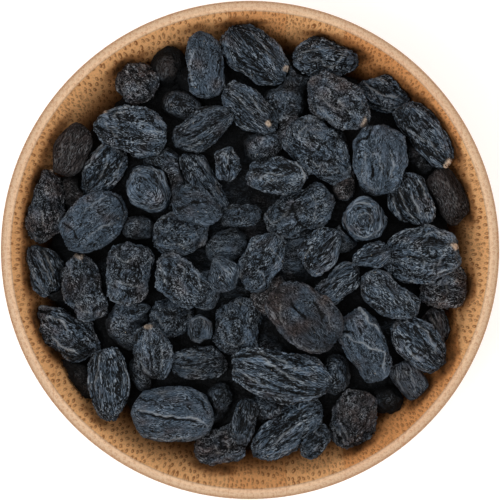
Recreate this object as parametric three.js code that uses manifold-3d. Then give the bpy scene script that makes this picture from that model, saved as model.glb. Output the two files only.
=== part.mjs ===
// A turned bamboo bowl heaped with seedless black raisins.
// Millimetres, +Z up. The bowl stands on z = 0 with its foot centred on the origin.

import * as THREE from 'three';
import { mergeVertices } from 'three/addons/utils/BufferGeometryUtils.js';
import Module from 'manifold-3d';

const wasm = await Module();
wasm.setup();

// Bowl
const rimRadius = 60;
const bowlHeight = 54;
const footRadius = 32;
const footChamfer = 0.6;
const outerBulge = 0.985;
const outerLift = 0.2;
const floorThickness = 7;
const rimWidth = 2.6;
const rimRounding = 1.1;
const rimOuterEase = 0.3;
const rimInnerEase = 0.4;
const bowlSides = 40;
const outerSteps = 6;
const innerSteps = 7;
const innerBend = 0.9;

// The heap: its top is a low dome, highest in the middle and lower along the wall
const heapTopHeight = 52.5;
const heapFall = 7;
const heapRadius = 53;
const coreDepth = 8.5;
const coreRings = 4;
const coreSides = 24;
const coreClearance = 0.8;
const tierStep = 1.5;
const gap = 0.3;

// The photograph looks straight down, so its pixels give places across the bowl
const photoCentre = 250;
const photoRimRadius = 250;
const millimetresPerPixel = rimRadius / photoRimRadius;
const viewDistance = 600;

// Raisins: faces round and along one, and how they come to rest on each other
const facesAround = 12;
const facesAlong = 6;
const lowerFacesAround = 8;
const lowerFacesAlong = 4;
const bluntness = 0.7;
const plumpness = 1.06;
const rippleShare = 0.5;
const lobeShare = 0.25;
const hollowShare = 0.3;
const waistWidth = 0.25;
const settlePasses = 160;
const sidewaysEase = 0.12;
const pullBack = 0.12;
const greatestLean = 9;
const seed = 7;

// How deep each kind of raisin is for its width, and its relief. Ridges run from end to end.
const kinds = {
  smooth: { depth: 0.74, ridges: 2, relief: 0.06, wander: 0.6, roughness: 0.45, color: 0x3a3230 },
  grainy: { depth: 0.76, ridges: 4, relief: 0.15, wander: 1.5, roughness: 0.8, color: 0x44474b },
  streaky: { depth: 0.66, ridges: 6, relief: 0.15, wander: 0.5, roughness: 0.7, color: 0x3f444b },
  long: { depth: 0.7, ridges: 6, relief: 0.2, wander: 0.4, roughness: 0.7, color: 0x41474e },
  creased: { depth: 0.7, ridges: 4, relief: 0.34, wander: 0.3, roughness: 0.7, color: 0x43464a },
  flat: { depth: 0.52, ridges: 3, relief: 0.12, wander: 0.8, roughness: 0.75, color: 0x434a52 },
  folded: { depth: 0.74, ridges: 4, relief: 0.2, wander: 0.9, waist: 0.2, waistAt: -0.3, roughness: 0.75,
    color: 0x434850 },
  lumpy: { depth: 0.8, ridges: 3, relief: 0.28, wander: 2.2, roughness: 0.75, color: 0x444a52 },
  peanut: { depth: 0.74, ridges: 3, relief: 0.12, wander: 1, waist: 0.22, waistAt: 0, roughness: 0.75,
    color: 0x414a54 },
  bean: { depth: 0.66, ridges: 2, relief: 0.2, wander: 0.2, roughness: 0.7, color: 0x434a50 },
  round: { depth: 0.9, ridges: 4, relief: 0.12, wander: 0.5, onEnd: true, roughness: 0.75, color: 0x434951 },
};

// The raisins on top, read from the photograph: the pixel of the centre, the length and width in
// millimetres and the heading of the long axis in degrees. A raisin with a higher tier lies over its
// neighbours. Taper narrows the end that the heading points to, and bend bows the raisin sideways.
const topRaisins = [
  { kind: 'lumpy', column: 136, row: 83, length: 11, width: 10.5, heading: -20 },
  { kind: 'folded', column: 131, row: 130, length: 19, width: 13, heading: -15, tier: 1, taper: -0.12 },
  { kind: 'smooth', column: 73, row: 150, length: 14.5, width: 9, heading: 65, taper: 0.1 },
  { kind: 'creased', column: 101, row: 169, length: 15, width: 10.5, heading: 54, tier: -0.5 },
  { kind: 'grainy', column: 45, row: 206, length: 18, width: 10.5, heading: 82, taper: 0.18 },
  { kind: 'flat', column: 94, row: 221, length: 18.5, width: 13, heading: 35, tier: 1.5 },
  { kind: 'round', column: 148, row: 189, length: 12.2, width: 12, heading: 40, tier: 0.8 },
  { kind: 'flat', column: 205, row: 66, length: 16.5, width: 10.8, heading: 97, tier: 1 },
  { kind: 'long', column: 257, row: 54, length: 20, width: 12, heading: -40, tier: 0.6, taper: 0.15 },
  { kind: 'folded', column: 326, row: 57, length: 18.5, width: 10.8, heading: 8, tier: 0.5 },
  { kind: 'grainy', column: 338, row: 103, length: 17.5, width: 11, heading: -38, tier: 1, taper: 0.12 },
  { kind: 'folded', column: 385, row: 94, length: 13.5, width: 10, heading: -15, tier: -0.6 },
  { kind: 'long', column: 426, row: 133, length: 19.5, width: 10.8, heading: -47, tier: 0.4, bend: 0.7 },
  { kind: 'flat', column: 379, row: 160, length: 19, width: 13.2, heading: 88, tier: 1.6 },
  { kind: 'lumpy', column: 320, row: 149, length: 18.5, width: 12.8, heading: -42, tier: 1 },
  { kind: 'streaky', column: 248, row: 107, length: 16, width: 9.8, heading: -42 },
  { kind: 'streaky', column: 203, row: 131, length: 16, width: 9.8, heading: 28, tier: -0.5 },
  { kind: 'lumpy', column: 228, row: 165, length: 9.6, width: 7.2, heading: 80, tier: 0.6, taper: -0.3 },
  { kind: 'lumpy', column: 276, row: 178, length: 17, width: 9.8, heading: -5, tier: 1, bend: -0.6 },
  { kind: 'streaky', column: 205, row: 182, length: 18.5, width: 8.6, heading: -60, tier: 0.2 },
  { kind: 'flat', column: 198, row: 207, length: 13, width: 10, heading: -18, tier: 0.4 },
  { kind: 'lumpy', column: 180, row: 234, length: 14.8, width: 11, heading: 10, tier: 0.5 },
  { kind: 'grainy', column: 128, row: 272, length: 15.8, width: 11.6, heading: 85, tier: 0.8 },
  { kind: 'grainy', column: 86, row: 290, length: 17, width: 11, heading: 105, tier: 1 },
  { kind: 'creased', column: 45, row: 270, length: 13, width: 10.8, heading: -58, tier: -0.5 },
  { kind: 'folded', column: 66, row: 335, length: 20, width: 12, heading: -28, tier: 0.4 },
  { kind: 'grainy', column: 171, row: 319, length: 11, width: 10, heading: 20, tier: -0.5 },
  { kind: 'lumpy', column: 153, row: 351, length: 15, width: 9.2, heading: 97, tier: 0.6 },
  { kind: 'lumpy', column: 182, row: 281, length: 15, width: 11, heading: -50, tier: 1 },
  { kind: 'lumpy', column: 300, row: 210, length: 18, width: 11.2, heading: 22, tier: 0.4 },
  { kind: 'lumpy', column: 238, row: 216, length: 11, width: 6.8, heading: 8, tier: -0.6 },
  { kind: 'lumpy', column: 262, row: 262, length: 15.2, width: 10.6, heading: 65, tier: 0.6 },
  { kind: 'smooth', column: 223, row: 276, length: 10, width: 8.4, heading: -60, tier: 0.2 },
  { kind: 'streaky', column: 320, row: 252, length: 13.6, width: 9.2, heading: 48, tier: -0.2 },
  { kind: 'streaky', column: 340, row: 284, length: 14.8, width: 8.2, heading: 42, tier: 0.4 },
  { kind: 'flat', column: 304, row: 316, length: 20.5, width: 14.2, heading: -42, tier: 1.6 },
  { kind: 'grainy', column: 236, row: 328, length: 14.2, width: 12.2, heading: 90, tier: 0.6 },
  { kind: 'round', column: 200, row: 328, length: 7.2, width: 6.8, heading: 0, tier: -0.6 },
  { kind: 'round', column: 364, row: 221, length: 12, width: 11.6, heading: 20, tier: 1.4 },
  { kind: 'creased', column: 413, row: 199, length: 15.6, width: 9.6, heading: 112, tier: 0.2, bend: 0.4 },
  { kind: 'smooth', column: 448, row: 196, length: 15.6, width: 9, heading: -65 },
  { kind: 'folded', column: 420, row: 255, length: 18.6, width: 13.4, heading: 10, tier: 1.4 },
  { kind: 'streaky', column: 370, row: 256, length: 10.5, width: 6.8, heading: 25, tier: -0.6 },
  { kind: 'peanut', column: 388, row: 296, length: 17, width: 10, heading: -35, tier: 0.6, bend: -0.5 },
  { kind: 'lumpy', column: 445, row: 285, length: 12.2, width: 10.2, heading: 5, tier: 0.2 },
  { kind: 'creased', column: 434, row: 326, length: 10.2, width: 8.2, heading: -70, tier: -0.6 },
  { kind: 'long', column: 109, row: 382, length: 18.2, width: 11, heading: 100, tier: 0.6, taper: -0.1 },
  { kind: 'bean', column: 171, row: 414, length: 21.4, width: 15.8, heading: -3, tier: 1.4 },
  { kind: 'streaky', column: 198, row: 362, length: 14.4, width: 8.8, heading: 0, tier: -0.6 },
  { kind: 'long', column: 280, row: 373, length: 26, width: 12.2, heading: -13, tier: 0.8, bend: -0.8 },
  { kind: 'lumpy', column: 221, row: 445, length: 12.8, width: 10.2, heading: 12 },
  { kind: 'streaky', column: 243, row: 421, length: 13.2, width: 7, heading: 84, tier: -0.5 },
  { kind: 'streaky', column: 289, row: 431, length: 21.5, width: 10.2, heading: 36, tier: 0.2 },
  { kind: 'grainy', column: 352, row: 418, length: 15.4, width: 12, heading: 70, tier: 1 },
  { kind: 'flat', column: 362, row: 345, length: 20.4, width: 11.4, heading: -68, tier: 1.5 },
  { kind: 'long', column: 420, row: 343, length: 17.4, width: 10.6, heading: -38, tier: 0.6 },
  { kind: 'smooth', column: 410, row: 380, length: 12, width: 8.8, heading: -50 },
  { kind: 'lumpy', column: 316, row: 440, length: 8.6, width: 6.4, heading: 28, tier: -0.2 },
];

// The raisins that show in the gaps between those on top, read in the same way
const gapRaisins = [
  { kind: 'smooth', column: 168, row: 66, length: 11, width: 8.6, heading: 60 },
  { kind: 'streaky', column: 182, row: 106, length: 11.5, width: 8, heading: -20 },
  { kind: 'streaky', column: 165, row: 163, length: 12, width: 8, heading: -35 },
  { kind: 'smooth', column: 284, row: 104, length: 12, width: 8.6, heading: 0 },
  { kind: 'lumpy', column: 264, row: 146, length: 10.4, width: 9.4, heading: 30 },
  { kind: 'creased', column: 292, row: 134, length: 13, width: 8, heading: -70 },
  { kind: 'creased', column: 138, row: 228, length: 9, width: 7, heading: 0 },
  { kind: 'streaky', column: 226, row: 246, length: 11.5, width: 8, heading: 30 },
  { kind: 'smooth', column: 268, row: 294, length: 12, width: 8, heading: 60 },
  { kind: 'creased', column: 344, row: 184, length: 9.5, width: 7, heading: 90 },
  { kind: 'smooth', column: 80, row: 376, length: 15, width: 8, heading: -50 },
  { kind: 'streaky', column: 126, row: 331, length: 13, width: 9, heading: -45 },
  { kind: 'streaky', column: 140, row: 374, length: 10, width: 6, heading: -70 },
  { kind: 'creased', column: 216, row: 402, length: 12, width: 8, heading: 60 },
  { kind: 'lumpy', column: 132, row: 311, length: 10.5, width: 7, heading: 0 },
  { kind: 'smooth', column: 206, row: 291, length: 11, width: 7.4, heading: 80 },
  { kind: 'smooth', column: 388, row: 76, length: 12, width: 8, heading: -30 },
  { kind: 'lumpy', column: 267, row: 407, length: 10, width: 8, heading: -20 },
  { kind: 'streaky', column: 387, row: 400, length: 9, width: 8, heading: 0 },
  { kind: 'streaky', column: 336, row: 374, length: 11.5, width: 8, heading: 90 },
  { kind: 'smooth', column: 422, row: 160, length: 11, width: 8, heading: -40 },
  { kind: 'smooth', column: 295, row: 76, length: 12, width: 8, heading: 20 },
  { kind: 'streaky', column: 345, row: 238, length: 9, width: 7, heading: 50 },
  { kind: 'smooth', column: 73, row: 193, length: 10, width: 7.4, heading: -50 },
  { kind: 'streaky', column: 62, row: 283, length: 11, width: 8, heading: 60 },
];
const gapRaisinDrop = 2.6;
const lowerRaisinDepth = 1;

// More of them lie hidden below, on a spiral of even spacing
const hiddenRaisinCount = 9;
const hiddenRaisinLength = 14;
const hiddenRaisinWidth = 10;
const hiddenRaisinDrop = 4.6;
const hiddenRaisinSpread = 0.92;
const goldenAngle = Math.PI * (3 - Math.sqrt(5));

let randomState = seed;
function nextRandom() {
  randomState = (randomState * 16807) % 2147483647;
  return randomState / 2147483647;
}

function mergedGeometry(geometry) {
  geometry.deleteAttribute('normal');
  geometry.deleteAttribute('uv');
  return mergeVertices(geometry);
}

// A closed mesh as a solid, without the flat triangles that a lathe leaves on its axis
function solidOf(geometry) {
  const merged = mergedGeometry(geometry);
  const corners = merged.getIndex().array;
  const triVerts = [];
  for (let i = 0; i < corners.length; i += 3) {
    const [a, b, c] = [corners[i], corners[i + 1], corners[i + 2]];
    if (a !== b && b !== c && c !== a) triVerts.push(a, b, c);
  }
  const vertProperties = Float32Array.from(merged.getAttribute('position').array);
  const mesh = new wasm.Mesh({ numProp: 3, vertProperties, triVerts: Uint32Array.from(triVerts) });
  return new wasm.Manifold(mesh);
}

function geometryOf(solid) {
  const mesh = solid.getMesh();
  const geometry = new THREE.BufferGeometry();
  geometry.setAttribute('position', new THREE.BufferAttribute(Float32Array.from(mesh.vertProperties), 3));
  geometry.setIndex(new THREE.BufferAttribute(Uint32Array.from(mesh.triVerts), 1));
  return geometry;
}

// The largest body of a solid: small scraps that a cut leaves loose are dropped
function mainBody(solid) {
  const bodies = solid.decompose();
  return bodies.reduce((best, body) => (body.volume() > best.volume() ? body : best));
}

function turned(profile, sides = bowlSides) {
  return new THREE.LatheGeometry(profile, sides).rotateX(Math.PI / 2);
}

// The inner wall, from the middle of the floor out and up to the rim, set in by a clearance
function innerWall(clearance, top) {
  const mouthRadius = rimRadius - rimWidth - clearance;
  const floor = new THREE.Vector2(0, floorThickness + clearance);
  const bend = new THREE.Vector2(mouthRadius * innerBend, floorThickness + clearance);
  const mouth = new THREE.Vector2(mouthRadius, top);
  return new THREE.QuadraticBezierCurve(floor, bend, mouth).getPoints(innerSteps);
}

function bowlGeometry() {
  const shoulder = bowlHeight - rimRounding;
  const foot = [new THREE.Vector2(0, 0), new THREE.Vector2(footRadius - footChamfer, 0)];
  const outerWall = new THREE.QuadraticBezierCurve(
    new THREE.Vector2(footRadius, footChamfer),
    new THREE.Vector2(rimRadius * outerBulge, bowlHeight * outerLift),
    new THREE.Vector2(rimRadius, shoulder),
  ).getPoints(outerSteps);
  const rim = [
    new THREE.Vector2(rimRadius - rimRounding * rimOuterEase, bowlHeight - rimRounding * rimOuterEase),
    new THREE.Vector2(rimRadius - rimRounding, bowlHeight),
    new THREE.Vector2(rimRadius - rimWidth + rimRounding * rimInnerEase, bowlHeight),
  ];
  const inside = innerWall(0, bowlHeight - rimRounding * rimInnerEase).reverse();
  return turned([...foot, ...outerWall, ...rim, ...inside]);
}

// The space inside the bowl, open above, which keeps every raisin off the wall
function cavitySolid() {
  const wall = innerWall(gap, bowlHeight);
  const mouthRadius = wall[wall.length - 1].x;
  const lid = bowlHeight + heapFall;
  const above = [new THREE.Vector2(mouthRadius, lid), new THREE.Vector2(0, lid)];
  return solidOf(turned([...wall, ...above]));
}

function heapTop(radius) {
  return heapTopHeight - heapFall * (radius / heapRadius) ** 2;
}

// One raisin's sizes, place and lean. Pixels nearer the edge are spread a little, because what lies
// deeper in the bowl looks smaller.
function laidOut(raisin, drop) {
  const kind = kinds[raisin.kind];
  const depth = raisin.width * (raisin.depth ?? kind.depth);
  const sizes = new THREE.Vector3(raisin.length, raisin.width, depth).multiplyScalar(0.5);
  const across = (raisin.column - photoCentre) * millimetresPerPixel;
  const up = (photoCentre - raisin.row) * millimetresPerPixel;
  const level = heapTop(Math.hypot(across, up)) - sizes.z - drop + (raisin.tier ?? 0) * tierStep;
  const spread = 1 + (bowlHeight - level) / viewDistance;
  const place = new THREE.Vector3(across * spread, up * spread, level);
  const lean = () => THREE.MathUtils.degToRad((nextRandom() * 2 - 1) * greatestLean);
  const heading = THREE.MathUtils.degToRad(raisin.heading);
  const turn = new THREE.Matrix4().makeRotationFromEuler(new THREE.Euler(lean(), lean(), heading, 'ZYX'));
  const phase = nextRandom() * 2 * Math.PI;
  return { ...raisin, ...kind, sizes, home: place, position: place.clone(), turn, phase };
}

// The matrix R S² Rᵀ of a raisin's ellipsoid, which gives how far it reaches in any direction
function reachMatrix(raisin) {
  const stretch = new THREE.Matrix4().makeScale(...raisin.sizes.clone().multiply(raisin.sizes).toArray());
  const matrix = raisin.turn.clone().multiply(stretch).multiply(raisin.turn.clone().transpose());
  return new THREE.Matrix3().setFromMatrix4(matrix);
}

function reach(matrix, direction) {
  return Math.sqrt(direction.dot(direction.clone().applyMatrix3(matrix)));
}

// Two raisins that press into each other move apart, mostly up and down
function partPair(first, second) {
  const between = second.position.clone().sub(first.position);
  if (between.length() > first.sizes.x + second.sizes.x) return;
  const both = new THREE.Matrix3();
  both.elements = first.matrix.elements.map((value, i) => value + second.matrix.elements[i]);
  const normal = between.clone().applyMatrix3(both.invert()).normalize();
  const space = normal.dot(between) - reach(first.matrix, normal) - reach(second.matrix, normal) - gap;
  if (space >= 0) return;
  const ease = new THREE.Vector3(normal.x * sidewaysEase, normal.y * sidewaysEase, normal.z);
  const push = ease.clone().multiplyScalar((-0.5 * space) / Math.max(normal.dot(ease), sidewaysEase));
  first.position.sub(push);
  second.position.add(push);
}

function settle(raisins) {
  for (const raisin of raisins) raisin.matrix = reachMatrix(raisin);
  for (let pass = 0; pass < settlePasses; pass++) {
    for (let i = 0; i < raisins.length; i++) {
      for (let j = i + 1; j < raisins.length; j++) partPair(raisins[i], raisins[j]);
    }
    for (const raisin of raisins) raisin.position.lerp(raisin.home, pullBack);
  }
}

// A raisin from a ball: the ball's poles are the two ends, and the ridges run between them
function raisinGeometry(raisin, around, along, swell) {
  const geometry = mergedGeometry(new THREE.SphereGeometry(1, around, along));
  const points = geometry.getAttribute('position');
  const waist = raisin.waist ?? 0;
  const half = raisin.sizes.clone().addScalar(swell);
  for (let i = 0; i < points.count; i++) {
    const end = points.getY(i);
    const angle = Math.atan2(points.getZ(i), points.getX(i));
    const girth = Math.hypot(points.getX(i), points.getZ(i)) ** bluntness;
    const ripple = rippleShare * Math.cos(raisin.ridges * angle + 2 * raisin.wander * end + raisin.phase);
    const lobe = lobeShare * Math.sin(2 * angle + 3 * raisin.wander * end + 2 * raisin.phase);
    const pinch = waist * Math.exp(-(((end - (raisin.waistAt ?? 0)) / waistWidth) ** 2));
    const fullness = plumpness + raisin.relief * (ripple + lobe - hollowShare) - pinch;
    const narrowing = 1 - (raisin.taper ?? 0) * end;
    const bow = (raisin.bend ?? 0) * (1 - 2 * end * end);
    points.setXYZ(
      i,
      end * half.x,
      Math.sin(angle) * girth * fullness * narrowing * half.y + bow,
      Math.cos(angle) * girth * fullness * half.z,
    );
  }
  if (raisin.onEnd) geometry.rotateY(Math.PI / 2);
  geometry.applyMatrix4(raisin.turn);
  return geometry.translate(...raisin.position.toArray());
}

function topRaisinSolid(raisin, swell = 0) {
  return solidOf(raisinGeometry(raisin, facesAround, facesAlong, swell));
}

// Where two raisins on top still meet, the lower one is dented by the one over it
function dented(raisins, cavity) {
  const topFirst = [...raisins].sort((a, b) => b.position.z - a.position.z);
  const done = [];
  for (const raisin of topFirst) {
    let solid = topRaisinSolid(raisin).intersect(cavity);
    for (const over of done) {
      const near = over.raisin.position.distanceTo(raisin.position) < over.raisin.sizes.x + raisin.sizes.x;
      if (near) solid = solid.subtract(over.swollen);
    }
    raisin.solid = mainBody(solid);
    done.push({ raisin, swollen: topRaisinSolid(raisin, gap) });
  }
  return done.map((entry) => entry.swollen);
}

function hiddenRaisins() {
  const raisins = [];
  for (let i = 0; i < hiddenRaisinCount; i++) {
    const radius = heapRadius * hiddenRaisinSpread * Math.sqrt((i + 0.5) / hiddenRaisinCount);
    const angle = i * goldenAngle;
    raisins.push({
      kind: 'streaky',
      column: photoCentre + (radius * Math.cos(angle)) / millimetresPerPixel,
      row: photoCentre - (radius * Math.sin(angle)) / millimetresPerPixel,
      length: hiddenRaisinLength,
      width: hiddenRaisinWidth,
      heading: nextRandom() * 180,
    });
  }
  return raisins;
}

function lowerRaisinSolid(raisin) {
  return solidOf(raisinGeometry(raisin, lowerFacesAround, lowerFacesAlong, 0));
}

// The deeper raisins as one body: a core that fills the bowl, with raisins standing out of its top
// and a nest under each raisin that lies on it
function lowerRaisinsGeometry(nests, cavity) {
  const wall = innerWall(coreClearance, bowlHeight).filter((point) => point.y < heapTop(point.x) - coreDepth);
  const dome = [];
  for (let i = coreRings; i >= 0; i--) {
    const radius = (wall[wall.length - 1].x * i) / coreRings;
    dome.push(new THREE.Vector2(radius, heapTop(radius) - coreDepth));
  }
  const core = solidOf(turned([...wall, ...dome], coreSides));
  const inGaps = gapRaisins.map((raisin) => laidOut({ ...raisin, depth: lowerRaisinDepth }, gapRaisinDrop));
  const hidden = hiddenRaisins().map((raisin) => laidOut(raisin, hiddenRaisinDrop));
  const solids = [...inGaps, ...hidden].map((raisin) => lowerRaisinSolid(raisin).intersect(cavity));
  const heap = solids.reduce((whole, solid) => whole.add(solid), core);
  const nested = nests.reduce((whole, nest) => whole.subtract(nest), heap);
  return geometryOf(mainBody(nested));
}

function addMesh(group, name, geometry, color, roughness) {
  const material = new THREE.MeshStandardMaterial({ color, roughness, metalness: 0 });
  const mesh = new THREE.Mesh(geometry, material);
  mesh.name = name;
  group.add(mesh);
  return mesh;
}

function addTopRaisins(group, raisins) {
  raisins.forEach((raisin, i) => {
    const name = `raisin_${raisin.kind}_${String(i + 1).padStart(2, '0')}`;
    const geometry = geometryOf(raisin.solid).translate(...raisin.position.clone().negate().toArray());
    addMesh(group, name, geometry, raisin.color, raisin.roughness).position.copy(raisin.position);
  });
}

const bowlOfRaisins = new THREE.Group();
const cavity = cavitySolid();
const raisins = topRaisins.map((raisin) => laidOut(raisin, 0));
settle(raisins);
const nests = dented(raisins, cavity);
addMesh(bowlOfRaisins, 'bowl', bowlGeometry(), 0xd2ac7c, 0.5);
addMesh(bowlOfRaisins, 'lower_raisins', lowerRaisinsGeometry(nests, cavity), 0x2b2725, 0.8);
addTopRaisins(bowlOfRaisins, raisins);

export default bowlOfRaisins;
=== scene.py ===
import itertools
import math

import bpy
import numpy as np
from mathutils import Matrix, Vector
from mathutils.bvhtree import BVHTree
from mathutils.kdtree import KDTree


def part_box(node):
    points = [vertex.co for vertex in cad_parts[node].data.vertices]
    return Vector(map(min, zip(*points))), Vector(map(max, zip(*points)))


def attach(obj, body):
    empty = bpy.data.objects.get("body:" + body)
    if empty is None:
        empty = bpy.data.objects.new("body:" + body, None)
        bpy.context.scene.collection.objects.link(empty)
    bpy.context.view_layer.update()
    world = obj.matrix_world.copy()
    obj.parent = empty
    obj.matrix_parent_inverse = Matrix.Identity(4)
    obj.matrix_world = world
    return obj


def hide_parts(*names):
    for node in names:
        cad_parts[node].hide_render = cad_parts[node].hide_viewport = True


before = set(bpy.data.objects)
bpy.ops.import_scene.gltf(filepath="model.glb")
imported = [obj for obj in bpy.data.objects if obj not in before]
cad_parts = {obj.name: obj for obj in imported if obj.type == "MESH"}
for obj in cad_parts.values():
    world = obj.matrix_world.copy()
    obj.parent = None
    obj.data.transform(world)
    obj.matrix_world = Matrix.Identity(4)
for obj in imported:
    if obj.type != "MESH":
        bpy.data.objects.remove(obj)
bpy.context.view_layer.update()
mm = 0.001


# Shader maths: a wire is one socket, and a sum on wires adds its node

class Wire:
    def __init__(self, board, socket):
        self.board = board
        self.socket = socket

    def maths(self, operation, first, second):
        return self.board.add("Math", {"operation": operation}, {0: first, 1: second})

    def __add__(self, other):
        return self.maths("ADD", self, other)

    def __radd__(self, other):
        return self.maths("ADD", other, self)

    def __sub__(self, other):
        return self.maths("SUBTRACT", self, other)

    def __rsub__(self, other):
        return self.maths("SUBTRACT", other, self)

    def __mul__(self, other):
        return self.maths("MULTIPLY", self, other)

    def __rmul__(self, other):
        return self.maths("MULTIPLY", other, self)

    def __truediv__(self, other):
        return self.maths("DIVIDE", self, other)

    def __abs__(self):
        return self.maths("ABSOLUTE", self, 0)

    def most(self, other):
        return self.maths("MAXIMUM", self, other)

    # 0 below the first value and 1 above the second, soft in between
    def between(self, low, high):
        return self.board.add("MapRange", {"interpolation_type": "SMOOTHSTEP"},
                              {"Value": self, "From Min": low, "From Max": high})

    # another output of the same node
    def sibling(self, name):
        return Wire(self.board, self.socket.node.outputs[name])


class Board:
    def __init__(self, name):
        self.material = bpy.data.materials.new(name)
        self.material.use_nodes = True
        self.tree = self.material.node_tree
        self.tree.nodes.clear()

    def find(self, sockets, key):
        if isinstance(key, int):
            return sockets[key]
        return next(s for s in sockets if key in (s.identifier, s.name) and s.enabled)

    # any node: its type, its settings first, then the values or links of its sockets
    def add(self, kind, settings, values, output=0):
        node = self.tree.nodes.new("ShaderNode" + kind)
        for setting, value in settings.items():
            setattr(node, setting, value)
        for key, value in values.items():
            socket = self.find(node.inputs, key)
            if isinstance(value, Wire):
                self.tree.links.new(value.socket, socket)
            else:
                socket.default_value = value
        if not node.outputs:
            return node
        return Wire(self, self.find(node.outputs, output))

    def colorMix(self, factor, first, second):
        values = {"Factor_Float": factor, "A_Color": first, "B_Color": second}
        return self.add("Mix", {"data_type": "RGBA"}, values, "Result_Color")

    def vectorMaths(self, operation, first, second):
        return self.add("VectorMath", {"operation": operation}, {0: first, 1: second}, "Vector")

    def length(self, vector):
        return self.add("VectorMath", {"operation": "LENGTH"}, {0: vector}, "Value")

    def attribute(self, name, output="Fac"):
        return self.add("Attribute", {"attribute_name": name}, {}, output)

    def noise(self, vector, scale, detail=2.0, roughness=0.5, output="Fac"):
        return self.add("TexNoise", {}, {"Vector": vector, "Scale": scale, "Detail": detail,
                                         "Roughness": roughness}, output)

    # a place moved about by soft noise
    def drifted(self, place, by, scale, reach):
        wander = self.vectorMaths("SUBTRACT", self.noise(by, scale, 1.0, output="Color"), (0.5, 0.5, 0.5))
        return self.vectorMaths("ADD", place, self.vectorMaths("MULTIPLY", wander, reach))

    # thin lines where soft noise passes one level: 1 on a line, 0 from the far end of the width on
    def thinLines(self, place, scale, detail, level, width):
        return 1 - abs(self.noise(place, scale, detail) - level).between(*width)

    def finish(self, shader):
        self.add("OutputMaterial", {}, {"Surface": shader})
        return self.material


def shade(red, green, blue):
    def linear(value):
        value /= 255
        return value / 12.92 if value <= 0.04045 else ((value + 0.055) / 1.055) ** 2.4
    return (linear(red), linear(green), linear(blue), 1)


# Camera and studio

photo = {"centre": 250, "rimRadius": 250, "rimRadiusMm": 60, "rimHeightMm": 54, "viewDistanceMm": 600}

studio = {
    "lens": 180,
    "sensor": 36,
    "floorSide": 3.0,
    "floorDrop": 0.0002,
    "floorColor": (0.99, 0.99, 0.99, 1),
    "floorRoughness": 0.9,
    "floorGlow": 0.12,
    "lightTarget": (0, 0, 0.04),
    "skyColor": (1.0, 1.0, 1.0, 1),
    "skyStrength": 1.03,
    "keyPlace": (-0.38, -0.18, 1.0),
    "keySize": 0.4,
    "keyPower": 3.2,
    "fillPlace": (0.5, 0.3, 0.9),
    "fillSize": 0.9,
    "fillPower": 1.0,
}


def addCamera():
    data = bpy.data.cameras.new("camera")
    data.lens = studio["lens"]
    data.sensor_width = studio["sensor"]
    camera = bpy.data.objects.new("camera", data)
    camera.location = (0, 0, (photo["rimHeightMm"] + photo["viewDistanceMm"]) * mm)
    bpy.context.scene.collection.objects.link(camera)
    bpy.context.scene.camera = camera


def addSoftLight(name):
    data = bpy.data.lights.new(name + "Light", "AREA")
    data.shape = "DISK"
    data.size = studio[name + "Size"]
    data.energy = studio[name + "Power"]
    light = bpy.data.objects.new(name + "Light", data)
    bpy.context.scene.collection.objects.link(light)
    light.location = studio[name + "Place"]
    toward = Vector(studio["lightTarget"]) - Vector(studio[name + "Place"])
    light.rotation_euler = toward.to_track_quat("-Z", "Y").to_euler()


def addStudio():
    addCamera()
    addSoftLight("key")
    addSoftLight("fill")
    world = bpy.data.worlds.new("studioAir")
    world.use_nodes = True
    sky = world.node_tree.nodes["Background"]
    sky.inputs["Color"].default_value = studio["skyColor"]
    sky.inputs["Strength"].default_value = studio["skyStrength"]
    bpy.context.scene.world = world
    bpy.context.scene.view_settings.view_transform = "Standard"
    bpy.ops.mesh.primitive_plane_add(size=studio["floorSide"], location=(0, 0, -studio["floorDrop"]))
    floor = bpy.context.active_object
    floor.name = "floor"
    board = Board("palePaper")
    paper = board.add("BsdfPrincipled", {}, {
        "Base Color": studio["floorColor"], "Roughness": studio["floorRoughness"],
        "Emission Color": studio["floorColor"], "Emission Strength": studio["floorGlow"]})
    floor.data.materials.append(board.finish(paper))


# The bowl

# millimetres, and shares of them; the last five place the painted shade on the wood, near the raisins and
# deep in the hollow
bowl = {
    "rimRadius": 60, "height": 54, "footRadius": 32, "footChamfer": 0.6, "outerBulge": 0.985,
    "outerLift": 0.2, "floorThickness": 7, "rimWidth": 2.6, "rimRounding": 1.1, "innerBend": 0.9,
    "rimFall": 0.5, "sides": 112, "wallSteps": 14, "smoothing": 1, "floorInset": 0.5,
    "nearWall": 1.0, "touching": 0.6, "shadowReach": 3.4, "shadowFade": 1.5, "deep": (26, 13),
}


def curvePoints(start, bend, end, steps):
    points = []
    for i in range(steps + 1):
        t = i / steps
        points.append(tuple((1 - t) ** 2 * a + 2 * t * (1 - t) * b + t * t * c
                            for a, b, c in zip(start, bend, end)))
    return points


# radius and height of each ring, from the foot up the outside, over the rim and down the inside
def bowlRings():
    rim, top = bowl["rimRadius"], bowl["height"]
    round_, width = bowl["rimRounding"], bowl["rimWidth"]
    foot = [(bowl["footRadius"] - bowl["footChamfer"], 0)]
    outside = curvePoints((bowl["footRadius"], bowl["footChamfer"]),
                          (rim * bowl["outerBulge"], top * bowl["outerLift"]), (rim, top - round_),
                          bowl["wallSteps"])
    mouth = rim - width
    fall = bowl["rimFall"]
    lip = [(rim - round_ * 0.08, top - round_ * 0.5 - fall * 0.4), (rim - round_ * 0.4, top - fall * 0.6),
           (rim - round_ * 0.9, top - fall * 0.25), (rim - round_ * 1.4, top - fall * 0.06),
           (mouth + round_ * 0.5, top), (mouth + round_ * 0.15, top - round_ * 0.12)]
    inside = curvePoints((mouth, top - round_ * 0.5), (mouth * bowl["innerBend"], bowl["floorThickness"]),
                         (0, bowl["floorThickness"]), bowl["wallSteps"])
    return foot + outside + lip + inside[:-1]


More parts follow.
